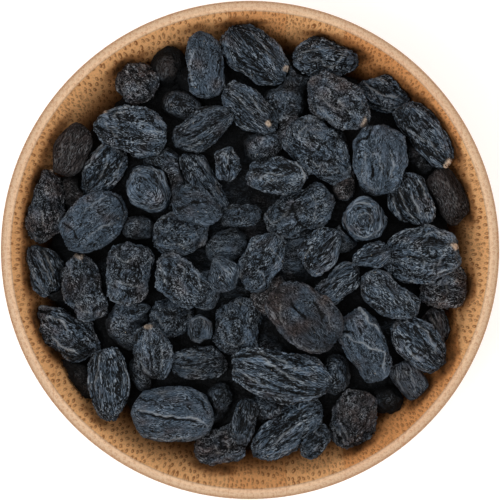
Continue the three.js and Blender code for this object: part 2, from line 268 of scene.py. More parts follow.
def makeBowl():
    rings = bowlRings()
    bpy.ops.object.select_all(action="DESELECT")
    bpy.ops.mesh.primitive_circle_add(vertices=bowl["sides"], radius=rings[0][0] * mm, fill_type="NGON",
                                      location=(0, 0, rings[0][1] * mm))
    piece = bpy.context.active_object
    piece.name = "turned_bowl"
    bpy.ops.object.mode_set(mode="EDIT")
    bpy.ops.mesh.select_all(action="SELECT")
    bpy.ops.mesh.flip_normals()
    bpy.ops.mesh.select_mode(type="EDGE")
    for (radius, height), (nextRadius, nextHeight) in zip(rings, rings[1:]):
        bpy.ops.mesh.extrude_edges_move(
            TRANSFORM_OT_translate={"value": (0, 0, (nextHeight - height) * mm)})
        grow = nextRadius / radius
        bpy.ops.transform.resize(value=(grow, grow, 1))
    bpy.ops.mesh.edge_face_add()
    bpy.ops.mesh.inset(thickness=rings[-1][0] * bowl["floorInset"] * mm)
    bpy.ops.mesh.select_all(action="SELECT")
    bpy.ops.mesh.normals_make_consistent(inside=False)
    bpy.ops.object.mode_set(mode="OBJECT")
    addModifier(piece, "SUBSURF", levels=bowl["smoothing"], render_levels=bowl["smoothing"])
    bpy.ops.object.shade_smooth()
    bpy.ops.object.transform_apply(location=True, rotation=True, scale=True)
    markInside(piece)
    return piece


# 1 on the wall and floor of the hollow, where the wood gets its painted shade
def markInside(piece):
    points = readPoints(piece) / mm
    radius = np.hypot(points[:, 0], points[:, 1])
    inside = np.array(bowlRings()[-bowl["wallSteps"]:])[::-1]
    gap = np.abs(radius - np.interp(points[:, 2], inside[:, 1], inside[:, 0]))
    writeAttribute(piece, "inside", (gap < bowl["nearWall"]).astype(float))
    writeAttribute(piece, "paintedContactShade", contactShadeFromRaisins(points))


# painted contact shadow on the wood: 1 where the raisins touch and 0 well away from them
def contactShadeFromRaisins(points):
    corners = [vertex.co / mm for name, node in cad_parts.items() if name.startswith("raisin_")
               for vertex in node.data.vertices]
    tree = KDTree(len(corners))
    for i, corner in enumerate(corners):
        tree.insert(corner, i)
    tree.balance()
    gaps = np.array([tree.find(point)[2] for point in points])
    return np.clip(1 - (gaps - bowl["touching"]) / bowl["shadowReach"], 0, 1) ** bowl["shadowFade"]


def addModifier(piece, kind, **settings):
    bpy.context.view_layer.objects.active = piece
    modifier = piece.modifiers.new(kind.lower(), kind)
    for setting, value in settings.items():
        setattr(modifier, setting, value)
    bpy.ops.object.modifier_apply(modifier=modifier.name)


# colours, then millimetres; a bundle has its spacing, its size and how disordered the rows are
bamboo = {
    "pale": shade(250, 190, 130),
    "honey": shade(234, 163, 102),
    # amber is the fibres' own tone and also a warm painted shade deep in the hollow
    "amberShadeAndFibre": shade(206, 130, 70),
    "outside": shade(196, 150, 104),
    "brown": shade(146, 88, 40),
    "pore": shade(108, 62, 28),
    "shadow": shade(28, 12, 4),
    # the pale rim tone is partly the rim's finish and partly painted light on its top face; it also colours
    # the piths
    "litRimAndPith": shade(183, 160, 136),
    "rimEdge": shade(142, 106, 72),
    "stripWidth": 14,
    "stripShift": 0.37,
    "seam": (0.487, 0.497),
    "bold": (1.26, 0.4, 0.55),
    "fine": (0.85, 0.28, 0.7),
    "fleck": (0.52, 0.14, 0.9),
    "wanderScale": 0.3,
    "wander": (1.6, 1.6, 0),
    "fibreStretch": (1, 1, 0.03),
    "fibreScale": 2.6,
    "cloudScale": 0.16,
    "denseScale": 0.1,
    "sparseScale": 0.2,
    "rimFace": (1.1, 0.5),
    "rimOuter": (1.2, 0.1),
}


# ring-shaped ends of the fibre bundles in rows, from above; up the walls the same bundles make streaks
def bundleEnds(board, place, spacing, size, order):
    cells = board.add("TexVoronoi", {"voronoi_dimensions": "2D"},
                      {"Vector": place, "Scale": 1 / spacing, "Randomness": order}, "Position")
    cellTone = board.add("TexWhiteNoise", {}, {"Vector": cells.sibling("Color")}, "Value")
    away = board.vectorMaths("SUBTRACT", place, cells)
    distance = board.length(away)
    offCentre = board.length(board.vectorMaths("ADD", away, (size * 0.30, size * 0.16, 0)))
    disc = 1 - distance.between(size * 0.7, size * 1.15)
    pith = 1 - offCentre.between(size * 0.2, size * 0.6)
    return disc * (1 - 0.9 * pith) * (0.75 + 0.25 * cellTone), disc * pith


def bambooFinish():
    board = Board("turnedBamboo")
    place = board.add("TexCoord", {}, {}, "Object")
    inMm = board.vectorMaths("MULTIPLY", place, (1000, 1000, 1000))
    across = board.add("SeparateXYZ", {}, {"Vector": inMm}, "X")
    up = across.sibling("Z")
    flat = board.add("CombineXYZ", {}, {"X": across, "Y": across.sibling("Y"), "Z": 0.0})
    # the strips that the block was glued up from
    strips = across / bamboo["stripWidth"] + bamboo["stripShift"]
    strip = board.add("Math", {"operation": "FLOOR"}, {0: strips})
    stripTone = board.add("TexWhiteNoise", {"noise_dimensions": "1D"}, {"W": strip}, "Value")
    inStrip = board.add("Math", {"operation": "FRACT"}, {0: strips})
    seam = abs(inStrip - 0.5).between(*bamboo["seam"])
    shifted = board.drifted(flat, flat, bamboo["wanderScale"], bamboo["wander"])
    boldRing, boldPith = bundleEnds(board, shifted, *bamboo["bold"])
    fineRing, finePith = bundleEnds(board, shifted, *bamboo["fine"])
    fleck, _ = bundleEnds(board, shifted, *bamboo["fleck"])
    dense = (board.noise(flat, bamboo["denseScale"], 1.0) + 0.25 * (stripTone - 0.5)).between(0.44, 0.56)
    sparse = board.noise(flat, bamboo["sparseScale"], 1.0).between(0.3, 0.5)
    ring = (boldRing * (1 - dense) + 0.9 * fineRing * dense) * (0.85 + 0.15 * sparse)
    pith = boldPith * (1 - dense) + finePith * dense
    # long fine fibres up the walls
    stretched = board.vectorMaths("MULTIPLY", inMm, bamboo["fibreStretch"])
    fibre = board.noise(stretched, bamboo["fibreScale"], 3.0, 0.6)
    cloud = board.noise(flat, bamboo["cloudScale"], 2.0)
    low, high = (bowl["height"] - below for below in bamboo["rimFace"])
    rimFace = up.between(low, high)
    inside = board.attribute("inside")
    # painted shade: darker deep in the hollow and where the raisins lie close to the wood
    low, high = (bowl["height"] - below for below in bowl["deep"])
    deep = inside * (1 - up.between(low, high)).most(board.attribute("paintedContactShade"))
    low, high = (bowl["rimRadius"] - near for near in bamboo["rimOuter"])
    rimOuter = rimFace * board.length(flat).between(low, high)
    body = (0.6 * stripTone + 0.45 * cloud).between(0.25, 0.8)
    body = board.colorMix(body, bamboo["pale"], bamboo["honey"])
    # among these layers the amber one is partly painted shade, the pale rim one partly painted light, and the
    # shadow one painted shade
    layers = [((1 - inside) * 0.7, "outside"),
              (deep.between(0, 0.6) * 0.5 + 0.2 * fibre.between(0.35, 0.7), "amberShadeAndFibre"),
              (rimFace * 0.75, "litRimAndPith"), (rimOuter * 0.8, "rimEdge"), (pith * 0.3, "litRimAndPith"),
              (ring * (1 - 0.6 * rimFace), "brown"),
              (fleck * (0.3 - 0.05 * rimFace + 0.5 * rimOuter), "pore"),
              (seam * 0.25, "brown"), (deep * 0.92, "shadow")]
    for share, tone in layers:
        body = board.colorMix(share, body, bamboo[tone])
    relief = board.add("Bump", {}, {"Strength": 0.3, "Distance": 0.00012,
                                    "Height": 0.5 * fibre - 0.2 * ring})
    return board.finish(board.add("BsdfPrincipled", {}, {
        "Base Color": body, "Roughness": 0.42 + 0.16 * fibre + 0.1 * ring, "Normal": relief,
        "Coat Weight": 0.04, "Coat Roughness": 0.35, "Specular IOR Level": 0.2}))


# The raisins: fold, wrinkle and crumple are how deep each is and how far apart, in millimetres, and
# drawn is how strongly the fine lines show
def skinStyle(stretch, lump, contrast, fold, wrinkle, crumple, drawn=1.0, rings=False):
    return {"stretch": stretch, "lump": lump, "contrast": contrast, "fold": fold, "wrinkle": wrinkle,
            "crumple": crumple, "drawn": drawn, "rings": rings}


wrinkles = {
    "smooth": skinStyle(5.0, 0.4, 0.5, (0.16, 4.2), (0.06, 1.5), (0.06, 0.75), drawn=0.8),
    "grainy": skinStyle(1.5, 1.1, 1.1, (0.52, 3.2), (0.30, 1.5), (0.26, 0.8)),
    "streaky": skinStyle(4.5, 0.8, 1.1, (0.44, 3.0), (0.26, 1.2), (0.22, 0.7)),
    "long": skinStyle(5.5, 0.8, 1.2, (0.50, 2.8), (0.28, 1.2), (0.22, 0.7)),
    "creased": skinStyle(5.0, 0.8, 1.3, (0.66, 3.0), (0.26, 1.3), (0.20, 0.7)),
    "flat": skinStyle(2.6, 0.7, 0.7, (0.26, 3.4), (0.18, 1.3), (0.16, 0.7), drawn=0.55),
    "folded": skinStyle(3.0, 1.1, 1.15, (0.66, 3.2), (0.26, 1.4), (0.22, 0.75)),
    "lumpy": skinStyle(2.2, 1.2, 1.15, (0.66, 3.0), (0.28, 1.4), (0.22, 0.75)),
    "peanut": skinStyle(3.0, 0.6, 0.9, (0.34, 3.2), (0.20, 1.3), (0.18, 0.7)),
    "bean": skinStyle(4.0, 0.5, 0.45, (0.16, 3.8), (0.09, 1.2), (0.12, 0.7), drawn=0.6),
    "round": skinStyle(3.6, 0.6, 0.9, (0.12, 3.0), (0.20, 1.15), (0.17, 0.7), drawn=0.65, rings=True),
    "lower": skinStyle(2.2, 0.0, 1.0, (0.40, 3.0), (0.24, 1.4), (0.16, 0.9)),
}

raisin = {
    "voxel": 0.17 * mm,
    "trianglesPerSquareMm": 39,
    "spareTriangles": 1500,
    "heapVoxel": 0.30 * mm,
    "heapTriangles": 90000,
    "hiddenCut": 0.92,
    "leastKept": 0.05,
    "sides": 18,
    "sideDepth": (0.3, 1.15),
    "sidePress": 0.85,
    "cluster": 3.4,
    "warp": 0.9,
    "warpSize": 5.0,
    "lumpSize": 5.2,
    "brokenSize": 2.5,
    # a band of painted sheen where the raisin's side turns this steep, and how wide
    "edgeTurn": 0.36,
    "edgeWidth": 0.10,
    "boldRub": 1.4,
    "ringWander": 0.28,
    "ringWanderSize": 7,
    "brownLeast": 0.02,
    "brownSpread": 0.06,
    # painted shade on the deeper raisins: from this height down over this depth, in millimetres
    "paintedShadeTop": 47.6,
    "paintedShadeDepth": 5,
    "sightDirections": 14,
    "sightCell": 0.9,
    "sightLift": 0.5,
    "seed": 11,
}

rng = np.random.default_rng(raisin["seed"])
slopes = rng.normal(size=(64, 3))
slopes /= np.linalg.norm(slopes, axis=1)[:, None]


# smooth noise from -1 to 1 at each point, about one bump to a unit
def waves(points, seed):
    cell = np.floor(points).astype(np.int64)
    inside = points - cell
    fade = inside ** 3 * (inside * (inside * 6 - 15) + 10)
    total = np.zeros(len(points))
    for corner in itertools.product((0, 1), repeat=3):
        corner = np.array(corner)
        spot = cell + corner
        mixed = spot[:, 0] * 73856093 ^ spot[:, 1] * 19349663
        mixed = mixed ^ spot[:, 2] * 83492791 ^ seed * 2654435761
        mixed = (mixed ^ (mixed >> 13)) * 1274126177 & 0xFFFFFFFF
        slope = slopes[(mixed ^ (mixed >> 15)) & 63]
        share = np.prod(np.where(corner == 1, fade, 1 - fade), axis=1)
        total += share * np.einsum("ij,ij->i", inside - corner, slope)
    return total * 1.6


def readPoints(piece):
    points = np.empty(len(piece.data.vertices) * 3)
    piece.data.vertices.foreach_get("co", points)
    return points.reshape(-1, 3)


def readNormals(piece):
    normals = np.empty(len(piece.data.vertices) * 3)
    piece.data.vertices.foreach_get("normal", normals)
    return normals.reshape(-1, 3)


def writePoints(piece, points):
    piece.data.vertices.foreach_set("co", points.ravel())
    piece.data.update()


# moves each point along its normal, by its own distance in millimetres
def pushOut(piece, distances):
    points = readPoints(piece) + readNormals(piece) * (distances * mm)[:, None]
    writePoints(piece, points)
    return points


def writeAttribute(piece, name, values):
    kind, field = ("FLOAT_VECTOR", "vector") if values.ndim == 2 else ("FLOAT", "value")
    attribute = piece.data.attributes.new(name, kind, "POINT")
    attribute.data.foreach_set(field, values.astype(np.float32).ravel())


def copyOfNode(name, pieceName):
    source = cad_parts[name]
    bpy.ops.object.select_all(action="DESELECT")
    piece = bpy.data.objects.new(pieceName, source.data.copy())
    bpy.context.scene.collection.objects.link(piece)
    piece.data.materials.clear()
    piece.select_set(True)
    bpy.context.view_layer.objects.active = piece
    bpy.ops.object.mode_set(mode="EDIT")
    bpy.ops.mesh.select_all(action="SELECT")
    bpy.ops.mesh.remove_doubles(threshold=0.000001)
    bpy.ops.object.mode_set(mode="OBJECT")
    return piece


# the raisin's own axes: its long way, its width and its depth
def ownAxes(points):
    middle = points.mean(axis=0)
    _, _, axes = np.linalg.svd(points - middle, full_matrices=False)
    if np.linalg.det(axes) < 0:
        axes[2] *= -1
    return middle, axes


# lines that run round the raisin as seen from above, side by side with its outline
def ringCoordinates(local, stretch):
    spread = local[:, :2] - local[:, :2].mean(axis=0)
    _, _, turn = np.linalg.svd(spread, full_matrices=False)
    plan = spread @ turn.T
    reaches = np.abs(plan).max(axis=0)
    plan[:, 0] *= reaches[1] / reaches[0]
    drift = [waves(local / raisin["ringWanderSize"], seed) for seed in (21, 22)]
    plan += reaches[1] * raisin["ringWander"] * np.stack(drift, axis=1)
    radius = np.hypot(plan[:, 0], plan[:, 1])
    angle = np.arctan2(plan[:, 1], plan[:, 0])
    reach = reaches[1] * 0.7 / stretch
    return np.stack([reach * np.cos(angle), reach * np.sin(angle), radius - 0.5 * local[:, 2]], axis=1)


def skinCoordinates(points, middle, axes, kind):
    stretch = wrinkles[kind]["stretch"]
    if wrinkles[kind]["rings"]:
        return ringCoordinates((points - middle) / mm, stretch)
    local = (points - middle) @ axes.T / mm
    girth = np.hypot(local[:, 1], local[:, 2])
    even = girth.max() * np.sqrt(girth / girth.max()) / np.maximum(girth, 1e-6)
    return np.stack([local[:, 0] / stretch, local[:, 1] * even, local[:, 2] * even], axis=1)


# rounded ridges with sharp creases between them: 1 on a ridge and 0 in a crease
def billow(points, size, seed):
    return np.clip(np.abs(waves(points / size, seed)) * 1.8, 0, 1) ** 0.8


# thin ridges over wide hollows: 1 on a ridge
def crests(points, size, seed):
    return np.clip(1 - np.abs(waves(points / size, seed)) * 2.2, 0, 1) ** 1.5


# What shows on single raisins, read off the photograph: pixel points along each crease, each
# raised pale line and the boldest of those, x and y by turns, and the pixels of the stem ends and
# pale dots. Widths are in pixels, heights in millimetres.
marking = {
    "ridgeWidth": 0.8, "creaseWidth": 1.0, "boldWidth": 0.85, "stemWidth": 2.3, "dotRadius": 0.9,
    "ridgeHeight": 0.2, "creaseHeight": -0.38, "boldHeight": 0.3, "stemHeight": 0.45, "dotHeight": 0.05,
    "steady": 0.75, "boldSteady": 0.95, "step": 0.8, "broken": 9, "bend": 1.8, "bendSize": 7,
    "faintStem": 0.5,
}
marks = {
    1: {"crease": [[131, 66, 136, 72, 134, 79], [146, 72, 150, 80, 148, 88, 152, 96],
            [138, 90, 134, 97]],
        "dot": [(131, 93), (138, 83)]},
    2: {"ridge": [[104, 111, 112, 110, 122, 108, 132, 106, 142, 101], [112, 118, 118, 113, 126, 112],
            [112, 126, 118, 131], [104, 121, 112, 132, 120, 140]],
        "crease": [[108, 114, 112, 121], [116, 111, 120, 120, 127, 123], [125, 112, 129, 119, 134, 120],
            [140, 104, 146, 112, 150, 116], [97, 125, 104, 134, 110, 141],
            [108, 124, 112, 134, 124, 146]],
        "stem": [[101, 103, 104, 111]],
        "dot": [(163, 124)]},
    3: {"ridge": [[66, 132, 62, 145, 62, 160], [72, 135, 70, 150, 68, 165]],
        "dot": [(74, 135), (91, 134)]},
    4: {"crease": [[106, 142, 104, 152, 101, 162, 95, 174, 84, 188],
            [111, 152, 109, 165, 101, 178, 95, 190]],
        "ridge": [[99, 146, 95, 155, 88, 165, 80, 175], [112, 150, 118, 152, 124, 155],
            [124, 158, 119, 168, 113, 182], [108, 156, 105, 168, 97, 180]]},
    5: {"crease": [[38, 205, 44, 212, 46, 220, 47, 228, 51, 235], [50, 205, 53, 215, 56, 228]],
        "ridge": [[41, 210, 43, 218, 43, 228]],
        "stem": [[49, 168, 53, 170]]},
    6: {"crease": [[110, 192, 120, 200, 124, 212], [62, 222, 72, 230, 80, 243]],
        "ridge": [[80, 215, 95, 203, 110, 195], [85, 240, 100, 228, 118, 222]]},
    7: {"dot": [(140, 170)]},
    8: {"ridge": [[181, 58, 182, 70, 186, 82, 192, 95], [228, 80, 221, 90, 212, 100, 203, 105],
            [196, 48, 190, 60, 190, 75, 196, 90]],
        "crease": [[185, 60, 186, 72, 190, 84], [214, 45, 221, 58, 220, 72, 214, 86]]},
    9: {"crease": [[228, 42, 236, 56, 246, 66, 258, 72, 270, 80], [250, 62, 262, 70, 272, 76],
            [240, 35, 252, 45, 266, 62]],
        "ridge": [[252, 32, 262, 45, 275, 62]],
        "stem": [[284, 68, 287, 69]]},
    10: {"ridge": [[297, 55, 305, 51, 315, 50, 324, 48, 330, 50],
            [305, 62, 312, 61, 320, 60, 324, 64, 330, 67, 336, 65, 341, 58, 345, 49],
            [331, 41, 340, 38, 347, 44, 345, 54]],
        "crease": [[310, 58, 317, 56, 323, 57, 328, 61, 332, 62, 337, 60, 341, 52],
            [349, 50, 345, 60, 340, 70], [355, 50, 354, 62, 350, 70]]},
    11: {"ridge": [[315, 104, 322, 110, 330, 118, 340, 126], [322, 85, 330, 92, 328, 100],
            [350, 93, 358, 99, 365, 107], [336, 95, 342, 105, 350, 112, 356, 120],
            [320, 95, 330, 106, 344, 112]],
        "crease": [[346, 92, 352, 100, 361, 108], [330, 86, 336, 98, 334, 110]],
        "stem": [[365, 120, 363, 125]]},
    12: {"bold": [[363, 80, 372, 90, 385, 95, 395, 97, 400, 93]],
        "ridge": [[362, 77, 375, 78, 388, 82]],
        "crease": [[366, 84, 378, 91, 392, 93], [362, 92, 372, 104, 384, 108]]},
    13: {"crease": [[401, 122, 410, 128, 418, 132, 424, 128, 432, 130], [425, 112, 434, 120, 433, 128],
            [410, 140, 422, 150, 436, 158]],
        "ridge": [[405, 127, 416, 136, 428, 142, 440, 154]],
        "stem": [[449, 161, 446, 166]]},
    14: {"ridge": [[365, 150, 366, 170, 368, 180], [370, 158, 375, 154, 380, 160, 382, 172, 377, 180],
            [362, 160, 363, 178, 370, 188, 382, 188], [390, 150, 393, 165, 390, 180]],
        "crease": [[354, 146, 360, 140, 368, 136, 372, 128], [372, 160, 373, 172, 372, 182],
            [358, 184, 368, 194, 382, 196]]},
    15: {"crease": [[304, 144, 312, 152, 322, 145, 330, 140], [318, 158, 326, 162, 333, 158],
            [328, 134, 336, 138, 343, 134]],
        "ridge": [[298, 140, 302, 130, 312, 124], [303, 138, 308, 131, 318, 128],
            [322, 168, 330, 172, 340, 170], [310, 160, 318, 166, 324, 162]]},
    16: {"ridge": [[236, 95, 244, 104, 252, 112], [246, 92, 256, 104, 262, 114]],
        "stem": [[267, 123, 269, 124]],
        "dot": [(253, 113)]},
    17: {"crease": [[178, 136, 192, 134, 208, 126, 224, 120]],
        "ridge": [[176, 142, 190, 146, 204, 142]]},
    18: {"ridge": [[222, 152, 228, 160, 226, 172], [232, 148, 236, 156, 244, 160]],
        "crease": [[230, 152, 235, 154, 240, 152]]},
    19: {"crease": [[250, 172, 262, 168, 272, 170, 282, 166, 292, 168, 300, 174],
            [266, 184, 276, 188, 286, 184]],
        "bold": [[260, 192, 272, 197, 288, 194], [292, 160, 302, 170, 304, 184]],
        "ridge": [[258, 180, 266, 175, 276, 174, 288, 177], [262, 187, 270, 180, 280, 181]]},
    20: {"crease": [[190, 156, 204, 172, 216, 192]], "ridge": [[198, 156, 210, 172, 222, 196]]},
    21: {"crease": [[178, 210, 192, 203, 208, 202]]},
    22: {"ridge": [[158, 222, 168, 214, 180, 211, 192, 214], [165, 246, 176, 244, 188, 247]],
        "crease": [[175, 225, 178, 235, 190, 240], [186, 218, 190, 228], [160, 235, 170, 242]]},
    23: {"crease": [[112, 262, 120, 268, 118, 278], [110, 285, 122, 290, 138, 296],
            [132, 262, 140, 272, 138, 284]],
        "ridge": [[115, 255, 125, 262, 135, 258], [114, 280, 126, 284, 142, 288]]},
    24: {"ridge": [[70, 262, 77, 256, 85, 258], [98, 274, 106, 284, 106, 296],
            [74, 300, 82, 310, 94, 314]],
        "crease": [[72, 272, 80, 280, 78, 292]],
        "stem": [[77, 256, 81, 257]]},
    25: {"ridge": [[37, 252, 42, 262, 48, 275, 54, 288], [43, 250, 49, 262, 55, 276],
            [31, 268, 38, 282, 44, 291]],
        "crease": [[34, 262, 40, 274, 47, 286], [46, 256, 51, 268, 56, 280]]},
    26: {"bold": [[44, 318, 52, 318, 60, 320, 65, 324, 67, 330, 66, 336],
            [52, 332, 54, 339, 61, 345, 70, 350, 80, 354]],
        "ridge": [[36, 308, 48, 305, 60, 308], [84, 322, 95, 330, 105, 338, 112, 344]],
        "crease": [[42, 322, 50, 322, 58, 324, 62, 330], [36, 338, 48, 347, 60, 353, 72, 358],
            [69, 326, 74, 334, 80, 342, 88, 350], [38, 312, 50, 311, 60, 314]]},
    27: {"crease": [[160, 308, 168, 314, 178, 312], [163, 318, 172, 326]],
        "ridge": [[155, 312, 160, 322, 168, 330]]},
    28: {"crease": [[145, 348, 150, 352, 152, 362, 150, 372]],
        "ridge": [[140, 355, 143, 366, 150, 375], [160, 345, 163, 358, 160, 370]],
        "stem": [[146, 327, 151, 326]],
        "dot": [(151, 344)]},
    29: {"crease": [[187, 268, 190, 278, 194, 286], [170, 262, 168, 275, 172, 285]],
        "ridge": [[178, 262, 184, 270, 182, 280], [195, 270, 199, 280, 200, 292],
            [160, 264, 162, 276, 168, 286]]},
    30: {"ridge": [[268, 222, 276, 222, 284, 216, 288, 208], [310, 192, 316, 204, 314, 222]],
        "bold": [[262, 206, 266, 216, 274, 226]],
        "crease": [[270, 202, 265, 210, 270, 218], [278, 205, 282, 212],
            [296, 194, 293, 206, 297, 220, 306, 230]]},
    32: {"crease": [[252, 256, 262, 262, 268, 274], [262, 250, 272, 258, 276, 268]],
        "ridge": [[256, 268, 264, 278, 262, 288], [268, 248, 276, 254, 282, 262]]},
    33: {"ridge": [[213, 262, 222, 266, 233, 276]]},
    34: {"ridge": [[305, 258, 309, 250, 314, 245]], "crease": [[303, 262, 315, 268, 330, 262]]},
    35: {"ridge": [[315, 282, 330, 272, 345, 265, 360, 262]],
        "crease": [[322, 288, 338, 279, 354, 271]]},
    36: {"ridge": [[290, 335, 298, 345, 310, 350, 325, 350], [283, 300, 280, 315, 286, 330],
            [320, 300, 328, 312, 330, 326]],
        "crease": [[290, 300, 298, 312, 308, 320], [312, 298, 322, 314, 322, 328]],
        "dot": [(299, 308)]},
    37: {"ridge": [[218, 306, 226, 300, 238, 300, 246, 306], [222, 340, 235, 346, 246, 340]],
        "crease": [[224, 322, 236, 318, 246, 324]],
        "dot": [(221, 304)]},
    38: {"ridge": [[190, 322, 196, 318, 203, 320, 206, 328]],
        "crease": [[193, 326, 196, 332, 202, 333]]},
    39: {"ridge": [[345, 214, 352, 206, 364, 203, 376, 208], [350, 230, 362, 237, 376, 232, 381, 222],
            [356, 218, 364, 213, 372, 218, 370, 227]],
        "crease": [[342, 222, 350, 236, 364, 242], [352, 212, 364, 208, 374, 213]],
        "dot": [(382, 227)]},
    40: {"crease": [[402, 172, 412, 180, 420, 192, 424, 206, 430, 218], [404, 190, 408, 204, 412, 216],
            [396, 196, 400, 210, 405, 222]],
        "ridge": [[416, 178, 423, 188, 427, 200], [399, 186, 403, 200, 409, 213, 418, 222],
            [392, 196, 397, 210, 402, 222], [410, 190, 416, 206, 425, 221]]},
    41: {"ridge": [[436, 178, 448, 184, 455, 198, 456, 212]], "dot": [(455, 207), (444, 217)]},
    42: {"ridge": [[437, 268, 441, 258, 446, 248, 450, 240], [431, 272, 436, 262],
            [418, 250, 424, 260, 422, 272], [424, 236, 436, 232, 446, 236]],
        "crease": [[425, 250, 432, 258, 438, 256], [442, 264, 447, 255],
            [425, 241, 435, 238, 444, 243]],
        "stem": [[453, 245, 456, 248]]},
    43: {"crease": [[358, 260, 368, 256, 380, 252]]},
    44: {"crease": [[386, 276, 388, 286, 392, 292], [360, 288, 368, 296, 380, 300],
            [394, 300, 402, 306, 410, 304]],
        "ridge": [[405, 290, 409, 298, 406, 306], [364, 280, 370, 272, 380, 272]]},
    45: {"crease": [[443, 280, 447, 289, 453, 292, 461, 290]],
        "ridge": [[438, 280, 445, 285, 448, 294], [452, 280, 460, 284]],
        "dot": [(444, 276)]},
    46: {"ridge": [[430, 316, 436, 326, 442, 332]],
        "crease": [[426, 318, 430, 328, 436, 336]],
        "dot": [(433, 323)]},
    47: {"crease": [[118, 362, 120, 378, 118, 392, 124, 399], [107, 352, 108, 368]],
        "ridge": [[122, 360, 126, 372, 129, 386], [100, 352, 98, 370, 95, 390]]},
    48: {"bold": [[132, 408, 140, 410, 150, 412, 160, 415, 172, 416, 185, 417, 197, 419, 205, 424, 209, 431]],
        "ridge": [[154, 388, 162, 383, 174, 381, 188, 385, 198, 391, 206, 401, 211, 411],
            [150, 437, 168, 440, 188, 437]],
        "crease": [[134, 411, 142, 413, 152, 415, 162, 418, 174, 419, 187, 420, 196, 422, 203, 428],
            [136, 396, 146, 400, 156, 400], [196, 396, 204, 406, 209, 416]]},
    49: {"crease": [[180, 350, 190, 348, 205, 350], [178, 360, 192, 362, 206, 358]],
        "ridge": [[178, 355, 192, 354, 206, 354], [178, 367, 192, 369, 206, 372]]},
    50: {"crease": [[252, 352, 265, 356, 280, 366, 295, 374, 310, 378],
            [248, 358, 262, 364, 275, 372, 290, 382, 305, 390],
            [258, 349, 275, 352, 295, 361, 318, 369], [252, 372, 262, 380, 272, 384],
            [262, 388, 285, 391, 305, 394], [222, 362, 236, 357, 250, 356]],
        "ridge": [[250, 355, 264, 360, 278, 369, 293, 378, 308, 384],
            [256, 352, 270, 355, 290, 366, 312, 374], [226, 368, 240, 372, 256, 382, 272, 388]]},
    51: {"ridge": [[214, 438, 222, 432, 232, 436], [214, 444, 218, 452, 227, 454],
            [222, 440, 229, 444, 227, 451]],
        "crease": [[219, 440, 222, 447, 227, 448]],
        "dot": [(217, 453)]},
    52: {"crease": [[240, 404, 242, 420, 244, 436]]},
    53: {"crease": [[262, 450, 275, 435, 290, 422, 308, 412], [276, 452, 288, 440, 304, 430]],
        "ridge": [[268, 452, 281, 437, 296, 426, 312, 418]]},
    54: {"ridge": [[332, 425, 338, 432, 343, 440, 347, 446], [340, 424, 346, 433, 350, 442]],
        "crease": [[335, 432, 341, 441], [330, 418, 340, 420, 350, 430]]},
    55: {"bold": [[340, 303, 350, 304, 358, 307, 364, 314, 369, 322, 377, 328, 382, 336],
            [340, 337, 348, 336, 355, 341, 365, 344, 372, 349, 382, 351, 385, 359, 383, 367, 385, 375],
            [340, 340, 341, 350, 344, 360, 348, 370, 354, 379, 362, 384, 371, 385, 380, 382, 387, 375]],
        "crease": [[358, 326, 361, 334, 359, 339], [340, 333, 350, 333, 358, 338],
            [352, 372, 360, 380, 370, 382]]},
    56: {"ridge": [[415, 322, 425, 330, 432, 342, 438, 355], [404, 345, 412, 355, 422, 362]],
        "crease": [[412, 326, 420, 335, 428, 348, 432, 360], [419, 323, 429, 332, 437, 344]]},
    57: {"ridge": [[396, 366, 398, 380, 405, 392], [402, 370, 412, 378, 418, 388]],
        "dot": [(415, 390), (420, 386)]},
    58: {"ridge": [[306, 436, 314, 432, 322, 436]], "crease": [[308, 444, 316, 440, 324, 442]]},
}
# the stem ends that hardly show
faintStems = (9, 11, 24, 28)


# where the camera sees each point, in pixels of the photograph
def photoPixels(points):
    rimDistance = photo["viewDistanceMm"] * mm
    cameraHeight = rimDistance + photo["rimHeightMm"] * mm
    pixel = photo["rimRadiusMm"] * mm / photo["rimRadius"]
    away = (cameraHeight - points[:, 2]) / rimDistance * pixel
    return np.stack([photo["centre"] + points[:, 0] / away, photo["centre"] - points[:, 1] / away], axis=1)


# a smooth line through hand-read points, as closely spaced points with how far along each is
def smoothLine(corners):
    corners = np.array(corners, float).reshape(-1, 2)
    ends = np.vstack([2 * corners[0] - corners[1], corners, 2 * corners[-1] - corners[-2]])
    line = []
    for a, b, c, d in zip(ends, ends[1:], ends[2:], ends[3:]):
        for t in np.arange(0, 1, 1 / max(2, int(np.linalg.norm(c - b) / marking["step"]))):
            line.append(0.5 * (2 * b + (c - a) * t + (2 * a - 5 * b + 4 * c - d) * t * t
                               + (3 * b - a - 3 * c + d) * t ** 3))
    line.append(corners[-1])
    return np.array(line), np.linspace(0, 1, len(line))


# how strongly a line shows at each pixel: it fades at its ends and breaks up, less the steadier it is
def lineStrength(pixels, corners, width, power=2, steady=marking["steady"]):
    line, along = smoothLine(corners)
    low, high = line.min(axis=0) - 4 * width, line.max(axis=0) + 4 * width
    near = np.nonzero(np.all((pixels > low) & (pixels < high), axis=1))[0]
    strength = np.zeros(len(pixels))
    if len(near):
        bent = np.column_stack([pixels[near] / marking["bendSize"], np.zeros(len(near))])
        bent = pixels[near] + marking["bend"] * np.stack([waves(bent, 31), waves(bent, 32)], axis=1)
        gaps = np.linalg.norm(bent[:, None] - line[None], axis=2)
        closest = gaps.argmin(axis=1)
        ends = np.clip(np.minimum(along[closest], 1 - along[closest]) / 0.2, 0, 1) ** 0.7
        place = np.column_stack([line[closest] / marking["broken"], np.zeros(len(near))])
        ends *= np.clip(steady + (1.35 - steady) * waves(place, 5), 0.15, 1)
        # a stem end is whole, right to its ends
        if power > 2:
            ends = 1
        strength[near] = np.exp(-(gaps[np.arange(len(near)), closest] / width) ** power) * ends
    return strength


def spotStrength(pixels, spot, radius):
    return np.exp(-((np.linalg.norm(pixels - np.array(spot), axis=1) / radius) ** 4))


